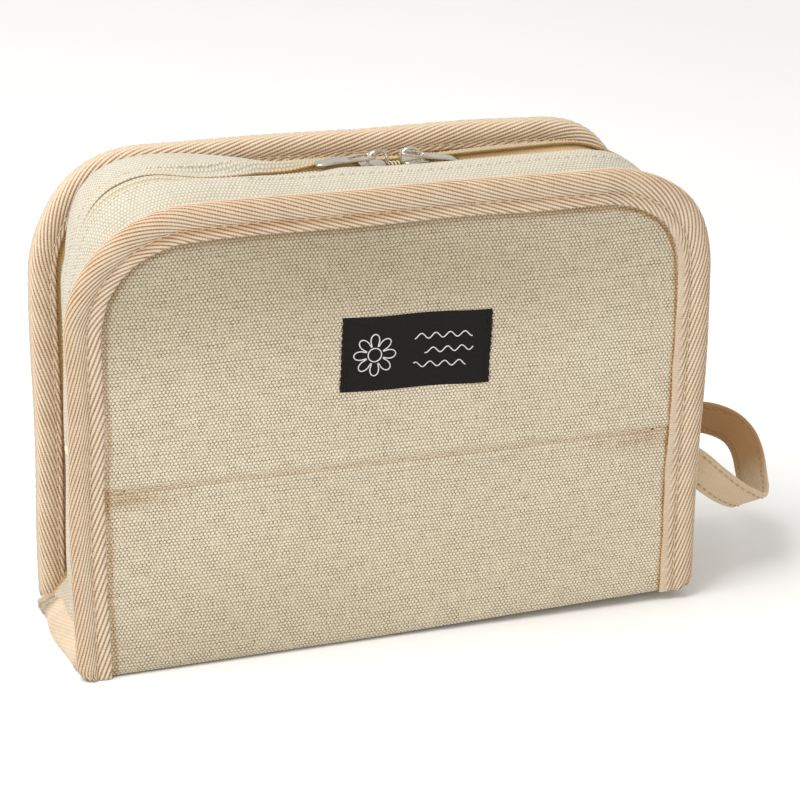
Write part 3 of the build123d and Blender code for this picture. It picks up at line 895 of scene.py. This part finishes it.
def needle_holes(name, spots, normals, radius=0.34):
    """Small pits at some of the stitch ends, coloured dark as painted shade inside the holes."""
    turn = np.linspace(0, 2 * math.pi, 8, endpoint=False)
    grids = []
    for middle, normal, size_share in zip(spots, normals, rng.uniform(0.25, 1.0, len(normals))):
        side = unit(np.cross(normal, (0.3, 0.5, 0.8)))
        up = np.cross(normal, side)
        rings = []
        for size, height in ((1.0, 0.02), (0.55, -0.05), (0.05, -0.08)):
            ring = np.cos(turn)[:, None] * side + np.sin(turn)[:, None] * up
            rings.append(middle + size * size_share * radius * ring + normal * height)
        grids.append(np.array(rings))
    return join_grids(name, grids, HOLE_SHADE)


def straight_row(name, middle, direction, spread, *look):
    """Stitches on the flat front that all run nearly the same way."""
    normal = np.tile((0.0, -1.0, 0.0), (len(middle), 1))
    direction = np.array(direction) + rng.normal(0, spread, normal.shape)
    return stitch_row(name, zip(middle, direction), normal, *look)


def arch_stitches(name, place, w, margin, side, outward, lift):
    """A row of stitches along the arch at width w of a placed cloth, margin mm short of both ends."""
    count = int((ARCH - 2 * margin) / STITCH)
    s = margin + (np.arange(count) + 0.5) * STITCH + rng.normal(0, 0.12, count)
    width = np.full(count, float(w))
    middle = place(s, width)
    direction = unit(place(s + 0.5, width) - middle)
    direction = direction + rng.normal(0, 0.035, direction.shape)
    normal = cloth_normal(place, s, width) * outward
    middle = middle + normal * lift
    thread = stitch_row(name + "_thread", zip(middle, direction), normal, STITCH * 0.74)
    ends = place(s - STITCH / 2, width) + normal * (lift + 0.05)
    holes = needle_holes(name + "_holes", ends, normal)
    for piece in (thread, holes):
        sew(piece, side)


def make_stitches():
    grooves = (("outer", width_at(GROOVE_OUTER, 0)), ("inner", width_at(GROOVE_INNER, 1)))
    for side, name in ((FRONT, "front_binding"), (BACK, "back_binding")):
        for row, w in grooves:
            arch_stitches(f"{name}_{row}", binding_place(side), w, 3, side, -side, 0.16)
    make_seam_stitches()
    for side, name in ((FRONT, "front_lip"), (BACK, "rear_lip")):
        def lip_place(s, w, side=side):
            return soften(gusset_point(side, s, lip_gap(s) + 4.6 + w))

        arch_stitches(name, lip_place, 0.0, FOLD_Z + 4, side, -side, 0.05)


def make_seam_stitches():
    """The row across the front, along the fold."""
    def seam_place(x):
        return soften(stacked(x - SEAM_END, -FACE - 0.35, FOLD_Z))

    count = int(2 * SEAM_END / SEAM_STITCH)
    x = np.arange(count) * SEAM_STITCH + 2.2
    thread = straight_row("fold_seam_thread", seam_place(x), (1, 0, 0), 0.03, 3.3, 0.21, 0.16)
    outwards = np.array((0.0, -1.0, 0.0))
    ends = seam_place(x - SEAM_STITCH / 2) - 0.1 * outwards
    holes = needle_holes("fold_seam_holes", ends, [outwards] * count, 0.45)
    for piece in (thread, holes):
        fold(piece)


# ---- zip ----------------------------------------------------------------------------
def make_coil(name, side, shift):
    """One half of the zip's coil, spread apart between the sliders."""
    s = np.arange(FOLD_Z + 5.75, ARCH - FOLD_Z - 5.75, COIL_PITCH / 12)
    turn = 2 * math.pi * s / COIL_PITCH + shift
    spread = ease(s, SLIDER_MIDDLE - 8, SLIDER_MIDDLE - 4) - ease(s, SLIDER_MIDDLE + 4, SLIDER_MIDDLE + 8)
    depth = 1.55 - 1.85 * np.cos(turn) + 0.8 * spread
    line = soften(arch_spot(s, zip_inset(s) - 1.2 * spread + 0.75 * np.sin(turn), side * depth))
    coil = make_grid(name + "_coil_teeth", tube_points(line, 0.3, 6), NYLON, wrap=True)
    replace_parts(coil, name + "_zip_coil")
    sew(coil, side)


def make_ribbon(name, side):
    """The zip's tape: under the gusset's lip, and beside the coil where the lips stand apart."""
    s = np.arange(FOLD_Z + 1.5, ARCH - FOLD_Z - 1.5, 1.2)
    depth = np.array([0.2, 1.6, 3.0, 3.8, 4.6, 5.4, 7.0, 10.0, 14.5])
    points = gusset_point(side, s[:, None], depth, 1.25)
    under = stacked(*arch_point(s, zip_inset(s) + 0.9))[:, None]
    share = (1 - ease(depth, 3.0, 5.4))[None, :, None] * slider_run(s)[:, None, None]
    points[..., ::2] += (under - points[..., ::2]) * share
    uv = stacked(s[:, None], depth)
    tape = make_grid(name + "_zip_ribbon", soften(points), SHADED_ZIP_TAPE, uv, flip=side == FRONT)
    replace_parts(tape, name + "_zip_tape")
    sew(tape, side)


def make_zip():
    for name, side, shift in (("rear", BACK, 0.0), ("front", FRONT, math.pi)):
        make_coil(name, side, shift)
        make_ribbon(name, side)
    for name in ("left", "right"):
        low, high = box_mm(name + "_zip_stop")
        piece = rounded_block(name + "_stop_clip", (low + high) / 2, (high - low) / 2, NYLON, 3)
        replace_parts(piece, name + "_zip_stop")
        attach(piece, "case")


def rounded_block(name, middle, half, material, power):
    """A block with soft edges: a superellipsoid."""
    v = np.linspace(-math.pi / 2, math.pi / 2, 20)[:, None]
    u = np.linspace(-math.pi, math.pi, 28, endpoint=False)

    def soft(value):
        return np.sign(value) * np.abs(value) ** (2 / power)

    unit = stacked(soft(np.cos(v)) * soft(np.cos(u)), soft(np.cos(v)) * soft(np.sin(u)), soft(np.sin(v)))
    return make_grid(name, np.array(middle) + unit * np.array(half), material, wrap=True, flip=True)


def prism(name, outline, low, thick, material, edge):
    """A flat plate with that (x, y) outline and rounded edges."""
    count = len(outline)
    rings = [np.column_stack([outline, np.full(count, z)]) for z in (low, low + thick)]
    mesh = bpy.data.meshes.new(name)
    faces = [list(range(count))[::-1], list(range(count, 2 * count))]
    faces += [[k, (k + 1) % count, (k + 1) % count + count, k + count] for k in range(count)]
    mesh.from_pydata((np.vstack(rings) * MM).tolist(), [], faces)
    mesh.materials.append(material)
    piece = link(name, mesh)
    bevel = piece.modifiers.new("soft_edges", "BEVEL")
    bevel.width = edge * MM
    bevel.segments = 3
    bevel.limit_method = "ANGLE"
    bevel.angle_limit = math.radians(35)
    applied(piece).data.shade_smooth()
    return piece


def plate_outline(half_length, half_width, nose):
    """A zip slider's outline: waisted behind, round nose in front."""
    side = [(0.86, 0.72), (0.35, 1), (-0.35, 0.78), (-0.9, 0.82), (-1, 0.5)]
    ring = [(1, 0), *side, *[(x, -y) for x, y in side[::-1]], (1, 0)]
    return smooth_line([(nose * half_length * x, half_width * y) for x, y in ring], 4)[:-1]


def make_slider(name, nose):
    """A slider's two plates, the wedge between them and the eye that holds its pull."""
    low, high = box_mm(name + "_slider")
    half_length, thick, eye_half = 4.4, 1.3, 3.3
    centre = np.array([low[0] + half_length if nose > 0 else high[0] - half_length, 0, 0])
    plate = HINGE[name + "_pull_flip"][2] - 3.7  # the top plate's underside
    outline = plate_outline(half_length, 3.5, nose) + centre[:2]
    top = prism(name + "_slider_top", outline, plate, thick, NICKEL, 0.35)
    floor = prism(name + "_slider_floor", outline, low[2], 1.1, NICKEL, 0.3)
    wedge = rounded_block(name + "_slider_wedge", centre + (0, 0, (low[2] + plate) / 2 + 0.5),
                          (1.6, 0.55, (plate - low[2]) / 2), NICKEL, 4)
    eye_x = (low[0] + high[0]) / 2 + nose * 0.6
    rise, foot = high[2] - plate - thick, plate + 1.1
    arch = ((-1, 0), (-0.98, 0.45), (-0.62, 0.82), (0, 0.95), (0.62, 0.82), (0.98, 0.45), (1, 0))
    arch_line = smooth_line([(eye_x + eye_half * x, 0, foot + rise * z) for x, z in arch], 6)
    rings = tube_points(arch_line, 0.52, 12)
    rings[..., 1] *= 1.9
    eye = make_grid(name + "_slider_eye", rings, NICKEL, wrap=True)
    for piece in (floor, wedge, eye):
        piece.parent = top
    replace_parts(top, name + "_slider")
    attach(top, "slider_" + name)


def make_pull(name, outward):
    """Flat tab with a long eye; the bar at its root passes under the slider's arch."""
    pin = HINGE[name + "_pull_flip"]
    low, high = box_mm(name + "_pull")
    length = max(abs(high[0] - pin[0]), abs(low[0] - pin[0]))
    half_thick = 0.5

    def oval(x0, x1, half_width, power):
        turn = np.linspace(0, 2 * math.pi, 64, endpoint=False)
        c, s = (np.sign(part) * np.abs(part) ** (2 / power) for part in (np.cos(turn), np.sin(turn)))
        return np.column_stack([(x0 + x1) / 2 + (x1 - x0) / 2 * c, half_width * s])

    outer = oval(-1.3, length + 0.2, 2.7, 5)
    outer[:, 1] *= 1 - 0.12 * ease(outer[:, 0], 3, 7) + 0.12 * ease(outer[:, 0], 9, length)
    inner = oval(0.45, 7.4, 1.75, 4)
    section = [(0, -0.7), (0, 0.7), (0.16, 1), (0.84, 1), (1, 0.7), (1, -0.7), (0.84, -1), (0.16, -1)]
    share, height = np.array([*section, section[0]]).T[:, :, None]
    x, y = (outer[:, k] + (inner[:, k] - outer[:, k]) * share for k in (0, 1))
    tilt = math.radians(4.0 if outward < 0 else 11.0)
    c, s = math.cos(tilt), math.sin(tilt)
    height = half_thick * height
    points = stacked(outward * (x * c + height * s), y, height * c - x * s) + pin
    piece = make_grid(name + "_pull_tab", points, NICKEL, wrap=True, flip=outward < 0)
    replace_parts(piece, name + "_pull")
    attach(piece, "pull_" + name)


# ---- label --------------------------------------------------------------------------
LABEL_LEAN = 0.032
LABEL_MIDDLE = sum(box_mm("woven_label")) / 2
LABEL_U, _, LABEL_V = box_mm("woven_label")[1] - LABEL_MIDDLE  # half of its length and height


def label_surface(u, v, lift):
    """A point of the label: u and v in millimetres from its middle."""
    x = LABEL_MIDDLE[0] + u + LABEL_LEAN * v
    sag = 0.2 * np.sin(u / 5.2 + 1) * np.clip(np.abs(v) / 12, 0, 1)
    z = LABEL_MIDDLE[2] + 0.45 + v - LABEL_LEAN * u + sag
    edge = np.clip(np.maximum(np.abs(u) / 25.8, np.abs(v) / 12.8), 0, 1)
    ripple = 0.3 * edge**8 - 0.12 * np.sin(u / 4 + v / 3)
    return soften(stacked(x, -FACE - 0.9 * panel_crown(x, z) - 0.45 - lift + ripple, z))


def label_piece(piece):
    """Marks a piece of the label, which moves with the flap."""
    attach(piece, "flap")


def make_label():
    u, v = np.meshgrid(np.linspace(-LABEL_U, LABEL_U, 110), np.linspace(-LABEL_V, LABEL_V, 56))
    u = u + 0.16 * np.sin(v * 2.4) * (np.abs(u) / LABEL_U) ** 20
    piece = make_grid("black_woven_label", label_surface(u, v, 0.0), LABEL, stacked(u, v), flip=True)
    solid = piece.modifiers.new("thickness", "SOLIDIFY")
    solid.thickness = 0.4 * MM
    solid.offset = -1
    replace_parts(applied(piece), "woven_label")
    label_piece(piece)
    label_piece(join_grids("label_flower_and_waves", label_marks(), LABEL_MARK))
    label_piece(join_grids("label_frayed_threads", frayed_threads(), LABEL))
    make_label_stitches()


def label_marks():
    """An invented flower and three waves, in raised thread."""
    turn = np.linspace(0, 2 * math.pi, 40)
    swing = np.linspace(-1, 1, 15)
    rings = [(2.3, turn)]
    for petal in range(8):
        rings.append((3.0 + 4.2 * (1 - swing**2) ** 0.6, petal * math.pi / 4 + swing * 0.36))
    lines = [(-14.5 + reach * np.cos(angle), -0.3 + reach * np.sin(angle)) for reach, angle in rings]
    for row, (height, start, end) in enumerate(((5.0, -1.0, 19.0), (0.0, 2.5, 19.5), (-5.0, -1.0, 17.0))):
        x = np.linspace(start, end, 60)
        lines.append((x, height + 0.9 * np.sin(x * 1.25 + row)))
    return [tube_points(label_surface(u, v, 0.1), 0.2, 6) for u, v in lines]


def frayed_threads():
    """Short loose threads at the label's cut ends."""
    ends = []
    for side in (-1, 1):
        for v in np.arange(-LABEL_V + 0.6, LABEL_V - 0.4, 0.9):
            reach = 0.2 + 0.5 * rng.random()
            drop = rng.normal(0, 0.25)
            out = side * (LABEL_U + reach * np.array([0, 0.5, 1]) - np.array([0.4, 0, 0]))
            ends.append(tube_points(label_surface(out, v + drop * np.array([0, 0.4, 1]), -0.1), 0.09, 5))
    return ends


def make_label_stitches():
    v = np.linspace(-LABEL_V + 1.5, LABEL_V - 1.5, int(2 * LABEL_V / 2.6))
    for name, u in (("left", -LABEL_U + 1.4), ("right", LABEL_U - 1.4)):
        middle = label_surface(u, v, 0.05)
        label_piece(straight_row(f"label_{name}_thread", middle, (0, 0, 1), 0.05, 1.9, 0.16, 0.05, LABEL))


# ---- strap --------------------------------------------------------------------------
STRAP_WIDTH = 12.0


def bend_at_root(piece):
    """The strap is sewn at its ends; this bakes its placement into its mesh."""
    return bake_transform(piece)


def make_strap():
    """Stitched webbing loop from the front edge to the back edge of the right side."""
    path = smooth_line([  # x, y, z of the middle, then the direction from its lower to its upper edge
        (103.5, -25.0, 53.5, 0, 0, 1), (112, -25.0, 47.2, 0, 0, 1), (119, -24.4, 40.8, 0, -0.12, 1),
        (126, -23.4, 35.2, 0.04, -0.36, 0.93), (132.5, -21.4, 31.0, 0.12, -0.62, 0.78),
        (137.6, -17.6, 28.6, 0.28, -0.85, 0.48), (140.8, -12.4, 28.8, 0.44, -0.86, 0.34),
        (142.8, -6.6, 30.6, 0.56, -0.78, 0.34), (144.6, -0.6, 33.2, 0.66, -0.62, 0.42),
        (146.2, 6.0, 35.8, 0.68, -0.42, 0.56), (146.6, 12.0, 38.2, 0.62, -0.2, 0.7),
        (145.0, 18.0, 40.4, 0.42, 0, 0.88), (140.4, 22.2, 42.2, 0.25, 0.05, 0.95),
        (133.0, 24.6, 43.6, 0.1, 0, 1), (118, 25.4, 45.8, 0, 0, 1), (103.5, 25.2, 49.6, 0, 0, 1),
    ], 12)
    line, width_axis = path[:, :3], path[:, 3:]
    length = along(line)
    total = length[-1]
    tangent = unit(np.gradient(line, axis=0))
    width_axis = unit(width_axis - tangent * np.sum(width_axis * tangent, axis=1)[:, None])
    face = np.cross(tangent, width_axis)
    half, thick = STRAP_WIDTH / 2, 0.85
    edge = ((0, 0), (0.25, 0.8), (1.1, 1), (1.8, 0.78), (2.6, 1))  # inwards and up, with a stitched groove
    top = [(-half + x, thick * z) for x, z in edge] + [(0, thick * 1.08)]
    top += [(half - x, thick * z) for x, z in edge[::-1]]
    below = [(x, -z) for x, z in top[-2:0:-1]]
    across, up = smooth_line([*top, *below, top[0]], 4)[:-1, :, None].transpose(1, 0, 2)
    points = line[:, None] + across * width_axis[:, None] + up * face[:, None]
    uv = stacked(length[:, None] / 3.1 + across[:, 0] / 1.1, across[:, 0] * 1.4)
    # painted shade on the far limb, past the loop's turn
    shade = 0.85 * ease(length, total * 0.42, total * 0.54)[:, None]
    shade = np.broadcast_to(shade, points.shape[:2])
    piece = make_grid("strap_loop", points, STRAP, uv, wrap=True, paint=(shade, 0.75))
    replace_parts(piece, "side_strap")
    bend_at_root(piece)
    spots, normals = [], []
    for s in np.arange(4, total - 4, 3.0):
        k = int(np.searchsorted(length, s))
        for edge in (-half + 1.8, half - 1.8):
            for sign in (-1, 1):
                spots.append((line[k] + width_axis[k] * edge + face[k] * sign * thick * 0.85, tangent[k]))
                normals.append(face[k] * sign)
    thread = stitch_row("strap_threads", spots, np.array(normals), 2.2, 0.18, 0.16, STRAP_THREAD)
    bend_at_root(thread)


# ---- studio -------------------------------------------------------------------------
def make_camera():
    yaw, pitch, roll = (math.radians(a) for a in (-19.0, 22.7, 1.2))
    forward = Vector((-math.sin(yaw) * math.cos(pitch), math.cos(yaw) * math.cos(pitch), -math.sin(pitch)))
    level = Vector((math.cos(yaw), math.sin(yaw), 0))
    rise = level.cross(forward)
    right = math.cos(roll) * level + math.sin(roll) * rise
    up = -math.sin(roll) * level + math.cos(roll) * rise
    camera = link("camera", bpy.data.cameras.new("camera"))
    camera.data.sensor_width = 36
    camera.data.lens = 135
    turn = Matrix((right, up, -forward)).transposed().to_4x4()
    camera.matrix_world = Matrix.Translation((-0.2959, -0.8920, 0.4685)) @ turn
    bpy.context.scene.camera = camera


def make_key_light():
    light = link("key", bpy.data.lights.new("key", "AREA"))
    light.data.size = 0.8
    light.data.energy = 14.5
    light.data.color = (1.0, 0.985, 0.95)
    light.location = (-0.62, -0.18, 1.20)
    direction = Vector((0, 0, 0.08)) - light.location
    light.rotation_euler = direction.to_track_quat("-Z", "Y").to_euler()


def make_studio():
    x, y = np.meshgrid(np.linspace(-3000, 3000, 5), np.linspace(-3000, 3000, 5))
    make_grid("floor", stacked(x, y, 0.0), floor_material(), flip=True)
    world = bpy.data.worlds.new("studio")
    world.use_nodes = True
    background = world.node_tree.nodes["Background"].inputs
    background[0].default_value = (1.0, 0.99, 0.97, 1)
    background[1].default_value = 0.72
    bpy.context.scene.world = world
    make_key_light()
    bpy.context.scene.view_settings.view_transform = "Standard"
    bpy.context.scene.view_settings.look = "None"


def main():
    make_camera()
    make_front_canvas()
    make_back_canvas()
    make_linings()
    make_gussets()
    make_side_lining("left_side_inside", 3, FOLD_Z - 1, "left_side_lining")
    make_side_lining("right_side_inside", ARCH - FOLD_Z + 1, ARCH - 3, "right_side_lining")
    make_bindings()
    make_stitches()
    make_zip()
    for name, nose in (("left", 1), ("right", -1)):
        make_slider(name, nose)
        make_pull(name, -nose)
    make_label()
    make_strap()
    make_studio()


main()
